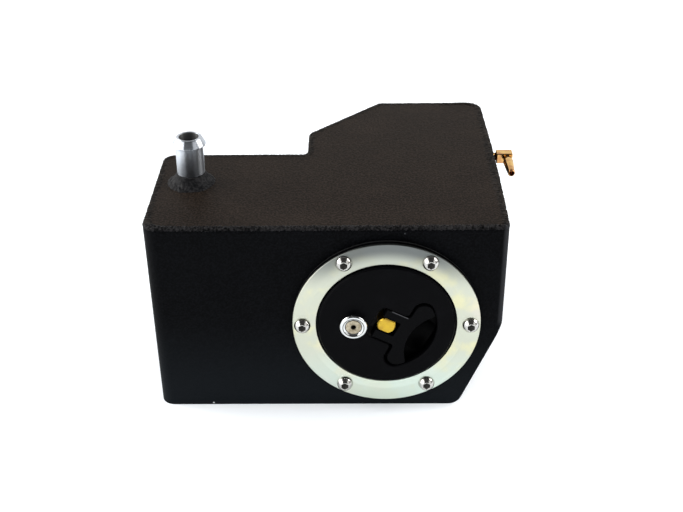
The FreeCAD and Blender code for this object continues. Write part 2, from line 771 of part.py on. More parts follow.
# Draw stem and what it squeezes
def draw_stem():
    """Brass stem: flatted head on the cross pin, round shank down to the nut."""
    head = disc(STEM_D / 2, SHANK_TOP, STEM_TOP)
    flats_corner = vec(-STEM_D / 2, -STEM_FLATS / 2, SHANK_TOP)
    head = head.common(Part.makeBox(STEM_D, STEM_FLATS, STEM_HEAD, flats_corner))
    head = head.makeChamfer(STEM_CHAMFER, level_edges(head, STEM_TOP))
    end = NUT_END - SHANK_TAIL
    shank = turned([
        (0.0, end),
        (SHANK_D / 2 - SHANK_END_CHAMFER, end),
        (SHANK_D / 2, end + SHANK_END_CHAMFER),
        (SHANK_D / 2, SHANK_TOP),
        (0.0, SHANK_TOP),
    ])
    pin_hole = Part.makeCylinder(PIN_D / 2, STEM_D, vec(0, -STEM_D / 2, PIN_LEVEL), vec(0, 1, 0))
    return in_cap(head.fuse(shank).cut(pin_hole).removeSplitter())


def pressure_plate():
    plate = tube(PLUG_RADIUS - PLATE_MARGIN, SHANK_D / 2 + THREAD_CLEARANCE, PLATE_END, SEAL_END)
    barrel_gap = disc(BARREL_D / 2 + BARREL_PLATE_GAP, PLATE_END, SEAL_END, LOCK_ACROSS, LOCK_RISE)
    return on_front(plate.cut(barrel_gap))


def stem_washer():
    return on_front(tube(WASHER_D / 2, SHANK_D / 2 + THREAD_CLEARANCE, WASHER_END, PLATE_END))


def stem_nut():
    nut = hexagon(NUT_ACROSS_FLATS, NUT_END, WASHER_END)
    return on_front(nut.cut(disc(SHANK_D / 2 + THREAD_CLEARANCE, NUT_END, WASHER_END)))


# Lock
def lock_barrel():
    """Turned barrel with a bull-nosed bezel and a dished rim round the key plug."""
    bore = KEY_BORE_D / 2
    rim = BEZEL_D / 2
    nose = rim - BEZEL_ROUND
    dish = KEY_COUNTERSINK_D / 2
    lowest = BEZEL_FACE - KEY_COUNTERSINK_DEPTH
    body = turned([
        (bore, BARREL_END),
        (BARREL_D / 2, BARREL_END),
        (BARREL_D / 2, CAP_FACE),
        (rim, CAP_FACE),
        (rim, BEZEL_FACE),
        (nose - BEZEL_LAND, BEZEL_FACE),
        (dish, BEZEL_FACE - BEZEL_STEP),
        (bore, lowest),
    ])
    outer_edge = [e for e in level_edges(body, BEZEL_FACE) if abs(e.Curve.Radius - rim) < 1e-4]
    return in_lock(body.makeFillet(BEZEL_ROUND, outer_edge))


def key_plug():
    """Turning core of the lock: recessed face with a post hole, tail for the tongue."""
    radius = KEY_BORE_D / 2 - KEY_RUNNING
    tail = TONGUE_TAIL_D / 2
    body = turned([
        (0.0, TONGUE_END),
        (tail, TONGUE_END),
        (tail, TONGUE_FRONT),
        (radius, TONGUE_FRONT),
        (radius, KEY_FACE - KEY_FACE_LENGTH),
        (KEY_FACE_D / 2, KEY_FACE - KEY_FACE_LENGTH),
        (KEY_FACE_D / 2, KEY_FACE),
        (0.0, KEY_FACE),
    ])
    post_hole = disc(KEY_POST_HOLE_D / 2, KEY_FACE - KEY_POST_HOLE_DEPTH, KEY_FACE)
    screw_hole = disc(TONGUE_SCREW_D / 2 + THREAD_CLEARANCE, TONGUE_END, TONGUE_END + TONGUE_SCREW_LENGTH)
    return in_lock(body.cut([post_hole, screw_hole]))


def lock_nut():
    nut_end = -PLUG_REACH - LOCK_NUT_HEIGHT
    nut = hexagon(LOCK_NUT_ACROSS_FLATS, nut_end, -PLUG_REACH)
    return in_lock(nut.cut(disc(BARREL_D / 2 + BARREL_FIT, nut_end, -PLUG_REACH)))


def lock_tongue():
    """Flat tongue, at rest across the cap, a quarter turn from hooking behind the neck."""
    reach = NECK_RADIUS + TONGUE_OVERLAP - math.hypot(LOCK_ACROSS, LOCK_RISE)
    half = TONGUE_WIDTH / 2
    arm = Part.makeBox(reach, TONGUE_WIDTH, TONGUE_THICK, vec(0, -half, TONGUE_END))
    arm = arm.makeFillet(TONGUE_TIP_ROUND, upright_edges_at(arm, [(reach, half), (reach, -half)]))
    plate = arm.fuse(disc(half + TONGUE_EYE_MARGIN, TONGUE_END, TONGUE_FRONT)).removeSplitter()
    plate = plate.cut(disc(TONGUE_TAIL_D / 2, TONGUE_END, TONGUE_FRONT))
    outward = math.degrees(math.atan2(LOCK_RISE, LOCK_ACROSS))
    plate.rotate(ORIGIN, UP, outward + 90.0)
    return in_lock(plate)


def tongue_screw():
    head_end = TONGUE_END - TONGUE_SCREW_HEAD_HEIGHT
    head = disc(TONGUE_SCREW_HEAD_D / 2, head_end, TONGUE_END)
    head = head.makeFillet(TONGUE_SCREW_HEAD_HEIGHT / 2, level_edges(head, head_end))
    shank = disc(TONGUE_SCREW_D / 2, TONGUE_END, TONGUE_END + TONGUE_SCREW_LENGTH)
    return in_lock(head.fuse(shank).removeSplitter())


PIECES = [
    front_wrap,
    rear_wrap,
    top_plate,
    base_plate,
    top_weld_bead,
    hose_spigot,
    spigot_weld,
    vent_boss,
    vent_elbow,
    filler_gasket,
    filler_neck,
    backing_ring,
    clamp_ring,
    ring_screws,
    cap_plug,
    cap_seal,
    stem_oring,
    cam_plate,
    t_handle,
    handle_pin,
    draw_stem,
    pressure_plate,
    stem_washer,
    stem_nut,
    lock_barrel,
    key_plug,
    lock_nut,
    lock_tongue,
    tongue_screw,
]

os.makedirs("parts", exist_ok=True)
for piece in PIECES:
    shape = piece()
    shape.exportStep("parts/" + piece.__name__ + ".step")
    print(piece.__name__, len(shape.Solids), round(shape.Volume, 1), shape.isValid())
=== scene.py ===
import math

import bmesh
import bpy
from mathutils import Matrix, Vector, noise


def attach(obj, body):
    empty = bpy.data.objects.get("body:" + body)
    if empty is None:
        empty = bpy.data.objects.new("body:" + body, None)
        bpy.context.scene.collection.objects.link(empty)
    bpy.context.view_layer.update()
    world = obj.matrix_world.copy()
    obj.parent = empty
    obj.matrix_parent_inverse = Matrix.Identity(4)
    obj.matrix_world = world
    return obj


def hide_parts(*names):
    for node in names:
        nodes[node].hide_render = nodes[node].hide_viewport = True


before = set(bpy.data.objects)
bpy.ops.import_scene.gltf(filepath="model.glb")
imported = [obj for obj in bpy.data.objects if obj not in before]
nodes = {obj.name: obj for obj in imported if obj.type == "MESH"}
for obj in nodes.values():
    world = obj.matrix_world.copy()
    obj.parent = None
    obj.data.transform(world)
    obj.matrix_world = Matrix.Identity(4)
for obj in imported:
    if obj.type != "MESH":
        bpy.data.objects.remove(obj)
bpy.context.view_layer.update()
MM = 0.001


# Folded walls, base and top plate
# Aluminium sheet, 3 mm thick, folded at the corners and welded at the seams, then
# powder coated in a fine black wrinkle, with dust and painted sheen on the top plate.
FRONT_Y = -85.0
COAT_GRAIN = 1.1 * MM
COAT_CLOUD = 30 * MM
COAT_DEPTH = 0.30 * MM
# Painted reflection of the white floor: the walls turn paler towards the foot.
FOOT_REFLECTION_SPAN = (70 * MM, 0.0)
FOOT_REFLECTION_TONE = (0.0080, 0.0102, 0.0125, 1.0)
# Painted highlight along the rounded right front bend.
BEND_ACROSS = (96.2 * MM, 97.8 * MM)
BEND_BACK = (-80.5 * MM, -81.8 * MM)
BEND_RISE = (55 * MM, 60 * MM)
BEND_HIGHLIGHT_TONE = (0.0190, 0.0195, 0.0215, 1.0)
DUST_AND_SHEEN_SPAN = (-81 * MM, -77 * MM)
CHIP = ((-68.6 * MM, FRONT_Y * MM, 1.2 * MM), 0.65 * MM, (0.55, 0.55, 0.55, 1.0))
# A speck of weld spatter whose glint is painted as a pale dot.
SPATTER_GLINT = ((43.1 * MM, FRONT_Y * MM, 117.2 * MM), 0.6 * MM, (0.035, 0.037, 0.040, 1.0))


class Shade:
    """A shader socket: sums written with it add Math nodes, and node() adds any other node."""

    def __init__(self, tree, socket=None):
        self.tree = tree
        self.socket = socket

    def node(self, kind, settings, sockets, output=0):
        made = self.tree.nodes.new("ShaderNode" + kind)
        for name, value in settings.items():
            setattr(made, name, value)
        for name, value in sockets.items():
            if isinstance(value, Shade):
                self.tree.links.new(value.socket, made.inputs[name])
            else:
                made.inputs[name].default_value = value
        return Shade(self.tree, made.outputs[output] if made.outputs else None)

    def sum(self, operation, first, second=0.0):
        return self.node("Math", {"operation": operation}, {0: first, 1: second})

    def __add__(self, other):
        return self.sum("ADD", self, other)

    def __sub__(self, other):
        return self.sum("SUBTRACT", self, other)

    def __rsub__(self, other):
        return self.sum("SUBTRACT", other, self)

    def __mul__(self, other):
        return self.sum("MULTIPLY", self, other)

    def __truediv__(self, other):
        return self.sum("DIVIDE", self, other)

    def __pow__(self, other):
        return self.sum("POWER", self, other)

    __radd__ = __add__
    __rmul__ = __mul__

    def fade(self, low, high):
        """0 on the low side, 1 on the high side, smooth between; low may be the larger number."""
        sockets = {"Value": self, "From Min": low, "From Max": high, "To Min": 0.0, "To Max": 1.0}
        return self.node("MapRange", {"interpolation_type": "SMOOTHSTEP"}, sockets)

    def size(self):
        return self.sum("ABSOLUTE", self)

    def mix(self, first, second):
        """Colour between first and second, with this value as the share of second."""
        return self.node("Mix", {"data_type": "RGBA"}, {0: self, 6: first, 7: second}, 2)


def blank_material(name):
    material = bpy.data.materials.new(name)
    material.use_nodes = True
    material.node_tree.nodes.clear()
    return material, Shade(material.node_tree)


def part_place(shade):
    """Position on the part in metres, as one vector."""
    return shade.node("TexCoord", {}, {}, "Object")


def apart(shade, place):
    """The three values of a position."""
    return [shade.node("SeparateXYZ", {}, {"Vector": place}, axis) for axis in "XYZ"]


def grain(shade, place, size, detail=2.0):
    """Noise value from 0 to 1 whose lumps are about size metres across."""
    sockets = {"Vector": place, "Scale": 1.0 / size, "Detail": detail, "Roughness": 0.5}
    return shade.node("TexNoise", {}, sockets)


def surface(shade, sockets):
    """Principled surface joined to the material's output."""
    shader = shade.node("BsdfPrincipled", {}, sockets)
    shade.node("OutputMaterial", {}, {"Surface": shader})


def bump(shade, height, depth, strength):
    return shade.node("Bump", {}, {"Height": height, "Distance": depth, "Strength": strength})


def wear(piece, material):
    """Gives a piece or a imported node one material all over."""
    piece.data.materials.clear()
    piece.data.materials.append(material)
    for face in piece.data.polygons:
        face.material_index = 0


def coat_material(name, colour, pale, wrinkle, gloss, depth, bare_and_glint=(), dust_and_sheen_tones=()):
    """Wrinkle coat, pale on its crests: grain, and on the weld also painted glints. A painted
    floor reflection pales its foot and a painted highlight the right bend; it has bare spots
    and a painted glint on a spatter speck.

    The last argument holds two tones of dust and painted sheen that take over behind the front panel.
    """
    material, shade = blank_material(name)
    place = part_place(shade)
    x, y, z = apart(shade, place)
    fine = grain(shade, place, wrinkle)
    broad = grain(shade, place, COAT_CLOUD, 3.0)
    ridges = grain(shade, place, wrinkle * 2.4, 1.0)
    crest_grain_and_glint = fine.fade(0.38, 0.66) * 0.8 + broad.fade(0.40, 0.75) * 0.2
    tone = crest_grain_and_glint.mix(colour, pale)
    if dust_and_sheen_tones:
        # dust and painted sheen behind the front panel
        tone = y.fade(*DUST_AND_SHEEN_SPAN).mix(tone, crest_grain_and_glint.mix(*dust_and_sheen_tones))
    # painted floor reflection, paler towards the foot
    tone = (z.fade(*FOOT_REFLECTION_SPAN) * 0.7).mix(tone, FOOT_REFLECTION_TONE)
    # painted highlight on the right bend
    painted_bend_highlight = x.fade(*BEND_ACROSS) * y.fade(*BEND_BACK) * z.fade(*BEND_RISE)
    tone = (painted_bend_highlight * 0.9).mix(tone, BEND_HIGHLIGHT_TONE)
    # bare spots, and a painted glint on the spatter speck
    for spot, radius, spot_tone in bare_and_glint:
        away = shade.node("VectorMath", {"operation": "DISTANCE"}, {0: place, 1: spot}, "Value")
        tone = away.fade(radius, radius * 0.6).mix(tone, spot_tone)
    surface(shade, {
        "Base Color": tone,
        "Roughness": 0.44 + fine * 0.12 + broad * 0.06,
        "Specular IOR Level": gloss,
        "Normal": bump(shade, fine * 0.7 + ridges * 0.3, depth, 0.9),
    })
    return material


wall_coat = coat_material(
    "black_wrinkle_coat", (0.0006, 0.0007, 0.0010, 1.0), (0.0030, 0.0033, 0.0042, 1.0),
    wrinkle=COAT_GRAIN, gloss=0.036, depth=COAT_DEPTH, bare_and_glint=(CHIP, SPATTER_GLINT))
# The top plate's paler, warmer coat is dust together with painted sheen of the lights.
dust_and_sheen_coat = coat_material(
    "top_coat_dust_and_sheen", (0.0037, 0.0021, 0.0010, 1.0), (0.0250, 0.0178, 0.0134, 1.0),
    wrinkle=COAT_GRAIN, gloss=0.055, depth=COAT_DEPTH)
for name in ("front_wrap", "rear_wrap", "base_plate"):
    wear(nodes[name], wall_coat)
wear(nodes["top_plate"], dust_and_sheen_coat)


# Top weld
# Corner weld between the walls and the top plate: a flush fill under a bead that was
# laid by hand in small overlapping ripples, with a fat flat blob at the front left
# corner. It is coated with the tank; the pale crests of its coat are painted glints on the lumps.
PLAN = [
    (-100.0, -85.0, 8.0),
    (100.0, -85.0, 4.5),
    (100.0, 85.0, 10.0),
    (32.8, 85.0, 3.0),
    (-12.5, 37.3, 9.0),
    (-12.5, 7.5, 3.5),
    (-100.0, 7.5, 7.0),
]
LEAST_RADIUS = 0.2
TANK_TOP = 120.0
SHEET = 3.0
WALL_TOP = TANK_TOP - SHEET
FILL_STEP = 1.0
FILL_PROFILE = [
    (0.0, 0.0), (0.0, 0.1), (0.0, 1.7), (0.15, 2.3), (0.6, 2.8), (1.2, SHEET), (2.9, SHEET),
    (SHEET, SHEET), (SHEET, 2.9), (SHEET, 0.1), (SHEET, 0.0),
]
WELD_STEP = 0.5
WELD_INSET = 2.0
WELD_SINK = 0.25
WELD_HALF = 1.85
WELD_REACH = 2.35
WELD_TALL = 0.50
WELD_PITCH = 1.9
WELD_SIDES = 20
SIDE_DROP = 0.65
BLOB_PLACE = Vector((-97.0, -82.0))
BLOB_REACH = 14.0
BLOB_WIDTH = 2.2
BLOB_TALL = 0.7
REAR_PLACE = Vector((93.0, 84.0))
REAR_REACH = 24.0
REAR_TALL = 0.5
BOW_SIDE = 90.0
BOW_START = -82.0
BOW_END = 80.0
BOW_RUN = 60.0
BOW_WIDTH = 1.0


def walk_outline(corners, inset, step):
    """Points and outward directions along a rounded outline, moved inwards by inset, every step."""
    count = len(corners)
    places = [Vector(corner[:2]) for corner in corners]
    runs = [(places[(i + 1) % count] - places[i]).normalized() for i in range(count)]
    inwards = [Vector((-run.y, run.x)) for run in runs]
    bends = []
    for i in range(count):
        before, after = runs[i - 1], runs[i]
        turn = before.x * after.y - before.y * after.x
        half = math.atan2(abs(turn), before.dot(after)) / 2
        corner = places[i] + (inwards[i - 1] + inwards[i]).normalized() * (inset / math.cos(half))
        radius = max(corners[i][2] - math.copysign(inset, turn), LEAST_RADIUS)
        reach = radius * math.tan(half)
        side = math.copysign(1.0, turn)
        centre = corner - before * reach + inwards[i - 1] * radius * side
        bends.append((corner - before * reach, corner + after * reach, centre, radius, side, 2 * half))
    stations = []
    for i in range(count):
        start, end, centre, radius, side, angle = bends[i]
        pieces = max(2, round(radius * angle / step))
        for k in range(pieces):
            turned = Matrix.Rotation(side * angle * k / pieces, 2) @ (start - centre)
            outward = turned.normalized() * side
            stations.append((centre + turned, outward))
        following = bends[(i + 1) % count][0]
        length = (following - end).length
        pieces = max(1, round(length / step))
        for k in range(pieces):
            stations.append((end.lerp(following, k / pieces), -inwards[i]))
    return stations


def grid_piece(name, rows):
    """Closed mesh object from rows of points in millimetres, joined row to row and smooth shaded."""
    mesh = bpy.data.meshes.new(name)
    columns = len(rows[0])
    points = [Vector(point) * MM for row in rows for point in row]
    faces = []
    for i in range(len(rows)):
        j = (i + 1) % len(rows)
        for k in range(columns):
            m = (k + 1) % columns
            faces.append((i * columns + k, i * columns + m, j * columns + m, j * columns + k))
    mesh.from_pydata(points, [], faces)
    mesh.polygons.foreach_set("use_smooth", [True] * len(faces))
    mesh.update()
    piece = bpy.data.objects.new(name, mesh)
    bpy.context.scene.collection.objects.link(piece)
    return piece


def corner_fill_rows():
    """Rows of the weld metal that fills the corner flush with the walls and the top plate."""
    rows = []
    for place, outward in walk_outline(PLAN, 0.0, FILL_STEP):
        rows.append([
            (place.x - outward.x * inset, place.y - outward.y * inset, WALL_TOP + height)
            for inset, height in FILL_PROFILE
        ])
    return rows


def weld_lump(run, angle):
    """Radius that the weld's lumps add at a place along the seam: least in the notches."""
    wander = noise.noise(Vector((run * 0.11, 3.1, 0.0)))
    phase = run / WELD_PITCH + 1.1 * wander + 0.16 * math.cos(angle)
    step = phase - math.floor(phase)
    crest = 1 - (2 * step - 1) ** 2
    blotch = noise.noise(Vector((run * 0.8, 2.6 * math.cos(angle), 2.6 * math.sin(angle))))
    return 0.55 * crest ** 0.8 + 0.55 * blotch


def nearness(place, spot, reach):
    """1 at the spot, falling evenly to 0 at reach from it."""
    return max(0.0, 1 - (place - spot).length / reach)


def top_weld_rows():
    """Rows of the bead: full along the front, lower elsewhere, bowed out along the right side."""
    rows = []
    run = 0.0
    stations = walk_outline(PLAN, WELD_INSET, WELD_STEP)
    for i, (place, outward) in enumerate(stations):
        run += (place - stations[i - 1][0]).length if i else 0.0
        blob = nearness(place, BLOB_PLACE, BLOB_REACH)
        lift = REAR_TALL * nearness(place, REAR_PLACE, REAR_REACH) + BLOB_TALL * blob
        aside = 1 - max(0.0, -outward.y)
        bowed = 0.0
        if place.x > BOW_SIDE:
            middle = min(1.0, max(0.0, min(place.y - BOW_START, BOW_END - place.y) / BOW_RUN))
            bowed = BOW_WIDTH * middle * max(0.0, outward.x)
        row = []
        for k in range(WELD_SIDES):
            angle = 2 * math.pi * k / WELD_SIDES
            lump = (1 - 0.5 * blob) * weld_lump(run, angle)
            across = min(WELD_REACH, WELD_HALF + 0.75 * lump) + bowed
            if math.cos(angle) < 0:
                across += BLOB_WIDTH * blob
            tall = (WELD_TALL + 1.35 * lump) * (1 - SIDE_DROP * aside) + lift
            reach = outward * (across * math.cos(angle))
            height = TANK_TOP - WELD_SINK + tall * math.sin(angle)
            row.append((place.x + reach.x, place.y + reach.y, height))
        rows.append(row)
    return rows


# Its pale crests are painted glints on the weld's lumps; behind the front it takes dust and painted
# sheen.
weld_coat_with_glints = coat_material(
    "weld_coat_with_glints", (0.0006, 0.0006, 0.0008, 1.0), (0.0215, 0.0205, 0.0215, 1.0),
    wrinkle=1.3 * MM, gloss=0.055, depth=0.55 * MM,
    dust_and_sheen_tones=((0.0030, 0.0022, 0.0016, 1.0), (0.0250, 0.0205, 0.0175, 1.0)))
corner_fill = grid_piece("weld_corner_fill", corner_fill_rows())
wear(corner_fill, wall_coat)
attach(corner_fill, "tank")
top_weld = grid_piece("rippled_top_weld", top_weld_rows())
wear(top_weld, weld_coat_with_glints)
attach(top_weld, "tank")
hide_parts("top_weld_bead")


# Hose spigot
# Turned aluminium tube with a barbed hose collar, left bright: it was masked
# while the tank was coated. It leans a little, as it was welded by hand.
SPIGOT_X = -79.15
SPIGOT_Y = -28.0
SPIGOT_TALL = 29.0
SPIGOT_LEAN = 0.5 / SPIGOT_TALL
SPIGOT_MOUTH_X = SPIGOT_X + SPIGOT_LEAN * SPIGOT_TALL
SPIGOT_SIDES = 96
SPIGOT_BORE = 5.5
SPIGOT_PROFILE = [
    (SPIGOT_BORE, -3.0), (8.0, -3.0), (8.0, 23.2), (8.05, 23.4), (9.35, 24.0), (9.55, 24.2),
    (9.6, 24.6), (9.5, 25.0), (7.5, 28.5), (7.3, 28.8), (6.9, SPIGOT_TALL), (6.1, SPIGOT_TALL),
    (5.75, 28.9), (SPIGOT_BORE, 28.5), (SPIGOT_BORE, 28.2),
]
TURNED_LINES = 3000.0


def axis_distance(first, second, first_centre, second_centre):
    """Distance in millimetres from an axis that runs square to the two directions."""
    across = (first - first_centre * MM) / MM
    along = (second - second_centre * MM) / MM
    return (across * across + along * along) ** 0.5


def turned_material(name, colour, stain, bore_shade, rough):
    """Bright metal with turning marks round an upright axis, faint clouds, and a dull bore darkened
    with painted shade.
    """
    material, shade = blank_material(name)
    place = part_place(shade)
    x, y, z = apart(shade, place)
    radius = axis_distance(x, y, SPIGOT_MOUTH_X, SPIGOT_Y)
    inside = radius.fade(SPIGOT_BORE + 0.4, SPIGOT_BORE + 0.1)
    lines = {"W": z, "Scale": TURNED_LINES, "Detail": 2.0}
    marks = shade.node("TexNoise", {"noise_dimensions": "1D"}, lines)
    cloud = grain(shade, place, 5 * MM, 3.0)
    tone = (cloud.fade(0.35, 0.75) * 0.6 + marks.fade(0.3, 0.7) * 0.4).mix(colour, stain)
    surface(shade, {
        # painted shade darkens the bore
        "Base Color": inside.mix(tone, bore_shade),
        "Metallic": 1 - 0.6 * inside,
        "Roughness": rough + cloud * 0.04 + inside * 0.3,
        "Anisotropic": 1.0,
        "Anisotropic Rotation": 0.25,
    })
    return material


def spigot_rows():
    """Rows of the spigot's section, one for each step round its leaning axis."""
    rows = []
    for i in range(SPIGOT_SIDES):
        angle = 2 * math.pi * i / SPIGOT_SIDES
        row = []
        for radius, height in SPIGOT_PROFILE:
            across = SPIGOT_X + SPIGOT_LEAN * height + radius * math.cos(angle)
            row.append((across, SPIGOT_Y + radius * math.sin(angle), TANK_TOP + height))
        rows.append(row)
    return rows


turned_aluminium = turned_material(
    "turned_aluminium", (0.64, 0.67, 0.71, 1.0), (0.48, 0.52, 0.58, 1.0),
    bore_shade=(0.055, 0.056, 0.056, 1.0), rough=0.27)
spigot = grid_piece("turned_spigot", spigot_rows())
wear(spigot, turned_aluminium)
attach(spigot, "tank")
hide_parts("hose_spigot")


# Spigot weld
# Weld metal round the spigot's foot: a smooth collar, then a wide toe of small
# lumps that runs out on the top plate, coated with the tank.
TOE_PROFILE = [
    (7.9, -0.4), (7.9, 6.6), (8.25, 6.7), (8.7, 5.7), (9.2, 4.6), (9.7, 3.7), (10.2, 3.0),
    (10.6, 2.5), (11.0, 2.15), (11.4, 1.8), (11.8, 1.55), (12.2, 1.3), (12.6, 1.05), (13.0, 0.8),
    (13.4, 0.55), (13.8, 0.25), (14.1, -0.05), (14.3, -0.4),
]
TOE_STEPS = 240
TOE_LUMPS = 23
TOE_START = 9.3
TOE_BLEND = 1.5
TOE_EDGE = -0.3


def toe_rows():
    """Rows of the weld's section round the spigot, smooth at the collar and lumpy on the toe."""
    rows = []
    for i in range(TOE_STEPS):
        angle = 2 * math.pi * i / TOE_STEPS
        away = Vector((math.cos(angle), math.sin(angle), 0.0))
        wander = noise.noise(away * 1.7)
        row = []
        for radius, height in TOE_PROFILE:
            rough = min(1.0, max(0.0, (radius - TOE_START) / TOE_BLEND))
            lump = math.cos(TOE_LUMPS * angle + 3.0 * wander) * math.cos(2.2 * radius + 5.0 * wander)
            blotch = noise.noise(away * radius * 0.62 + Vector((0.0, 0.0, 4.0)))
            swell = rough * (0.10 * lump + 0.75 * blotch) if height > TOE_EDGE else 0.0
            place = away * (radius + 0.8 * wander * rough + 0.3 * swell)
            level = TANK_TOP + height + 0.6 * swell
            row.append((SPIGOT_X + place.x, SPIGOT_Y + place.y, level))
        rows.append(row)
    return rows


spigot_weld = grid_piece("lumpy_spigot_weld", toe_rows())
toe_coat = coat_material(
    "toe_coat", (0.0034, 0.0036, 0.0042, 1.0), (0.0200, 0.0195, 0.0205, 1.0),
    wrinkle=1.4 * MM, gloss=0.06, depth=0.35 * MM)
wear(spigot_weld, toe_coat)
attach(spigot_weld, "tank")
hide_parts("spigot_weld")


# Vent elbow and its boss
# Machined brass elbow screwed into an aluminium boss behind the right side: a square
# block with a short neck and a conical hose barb that points to the front.
VENT_Y = 19.0
VENT_Z = 112.0
ELBOW_START = 104.3
ELBOW_END = 114.25
ELBOW_HALF = 3.25
ELBOW_EDGE = 0.5
BARB_X = 111.05
ON_AXIS = 0.02
BARB_PROFILE = [
    (1.5, ON_AXIS), (1.5, 2.6), (6.6, 2.75), (7.0, 2.85), (7.4, 3.1), (8.0, 3.18), (9.0, 3.15),
    (20.6, 2.35), (22.8, 2.2), (23.2, 2.05), (23.35, 1.85), (23.3, 1.65), (23.0, 1.5), (22.0, 1.45),
    (10.0, 1.45), (10.0, ON_AXIS),
]
SHANK_PROFILE = [(92.0, ON_AXIS), (92.0, 2.5), (105.0, 2.5), (105.0, ON_AXIS)]
TURNED_SIDES = 48
RIGHTWARD = Vector((1.0, 0.0, 0.0))
FORWARD = Vector((0.0, -1.0, 0.0))
UPWARD = Vector((0.0, 0.0, 1.0))


def metal_material(name, colour, stain, rough, marks, mark_depth):
    """Bright metal with fine marks about marks metres across and faint staining."""
    material, shade = blank_material(name)
    place = part_place(shade)
    fine = grain(shade, place, marks, 3.0)
    cloud = grain(shade, place, 6 * MM, 3.0)
    surface(shade, {
        "Base Color": cloud.fade(0.35, 0.75).mix(colour, stain),
        "Metallic": 1.0,
        "Roughness": rough + fine * 0.08 + cloud * 0.06,
        "Normal": bump(shade, fine, mark_depth, 0.5),
    })
    return material


def mesh_piece(name, solid):
    """Mesh object from a bmesh, which is freed."""
    mesh = bpy.data.meshes.new(name)
    solid.to_mesh(mesh)
    solid.free()
    piece = bpy.data.objects.new(name, mesh)
    bpy.context.scene.collection.objects.link(piece)
    return piece


def join_pieces(name, pieces):
    """One mesh object from several, which are taken away."""
    whole = bmesh.new()
    for piece in pieces:
        old = piece.data
        whole.from_mesh(old)
        bpy.data.objects.remove(piece)
        bpy.data.meshes.remove(old)
    return mesh_piece(name, whole)


def bevelled_block(name, low, high, edge):
    """Box between two corners in millimetres with rounded edges."""
    solid = bmesh.new()
    bmesh.ops.create_cube(solid, size=1.0)
    for corner in solid.verts:
        shares = [value + 0.5 for value in corner.co]
        corner.co = Vector([low[i] + shares[i] * (high[i] - low[i]) for i in range(3)]) * MM
    bmesh.ops.bevel(
        solid, geom=solid.edges[:], offset=edge * MM, segments=3, profile=0.5, affect="EDGES")
    return mesh_piece(name, solid)


def turned_rows(profile, centre, axis, across, up):
    """Rows of a turned shape: profile of (distance, radius) along axis from centre."""
    rows = []
    for i in range(TURNED_SIDES):
        angle = 2 * math.pi * i / TURNED_SIDES
        away = across * math.cos(angle) + up * math.sin(angle)
        rows.append([centre + axis * distance + away * radius for distance, radius in profile])
    return rows


barb_centre = Vector((BARB_X, VENT_Y, VENT_Z))
shank_centre = Vector((0.0, VENT_Y, VENT_Z))
block_low = Vector((ELBOW_START, VENT_Y - ELBOW_HALF, VENT_Z - ELBOW_HALF))
block_high = Vector((ELBOW_END, VENT_Y + ELBOW_HALF, VENT_Z + ELBOW_HALF))
elbow = join_pieces("brass_elbow", [
    bevelled_block("elbow_block", block_low, block_high, ELBOW_EDGE),
    grid_piece("elbow_barb", turned_rows(BARB_PROFILE, barb_centre, FORWARD, RIGHTWARD, UPWARD)),
    grid_piece("elbow_shank", turned_rows(SHANK_PROFILE, shank_centre, RIGHTWARD, FORWARD, UPWARD)),
])
brass = metal_material(
    "machined_brass", (0.78, 0.50, 0.17, 1.0), (0.50, 0.24, 0.10, 1.0),
    rough=0.10, marks=0.4 * MM, mark_depth=0.01 * MM)
wear(elbow, brass)
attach(elbow, "tank")
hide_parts("vent_elbow")
aluminium = metal_material(
    "plain_aluminium", (0.80, 0.81, 0.83, 1.0), (0.70, 0.71, 0.74, 1.0),
    rough=0.10, marks=0.5 * MM, mark_depth=0.01 * MM)
wear(nodes["vent_boss"], aluminium)


# Filler neck, gasket and backing ring
# Black moulded neck whose flange shows as a thin rim round the ring, on a rubber
# gasket, with a tapped aluminium ring behind the front panel.
FILLER_X = 33.6
FILLER_Z = 60.0
HANDLE_TURN = math.radians(-27.0)
# Painted shade in the finger scoop, and painted light in the pocket at the handle's heel.
SCOOP_DEPTH = (-89.5 * MM, -85.5 * MM)
SCOOP_ACROSS = (1 * MM, 6 * MM)
SCOOP_PAINTED_SHADE = (0.0, 0.0, 0.0, 1.0)
HEEL_DEPTH = (-90.0 * MM, -88.5 * MM)
HEEL_NEAR = (-2.0, -4.0)
HEEL_FAR = (-16.0, -14.0)
HEEL_ASIDE = (14.0, 12.0)
HEEL_PAINTED_LIGHT = (0.030, 0.029, 0.028, 1.0)


def handle_frame(x, z):
    """Millimetres along the folded handle from the filler's axis, and across it."""
    across = (x - FILLER_X * MM) / MM
    rise = (z - FILLER_Z * MM) / MM
    along = across * math.cos(HANDLE_TURN) + rise * math.sin(HANDLE_TURN)
    aside = rise * math.cos(HANDLE_TURN) - across * math.sin(HANDLE_TURN)
    return along, aside


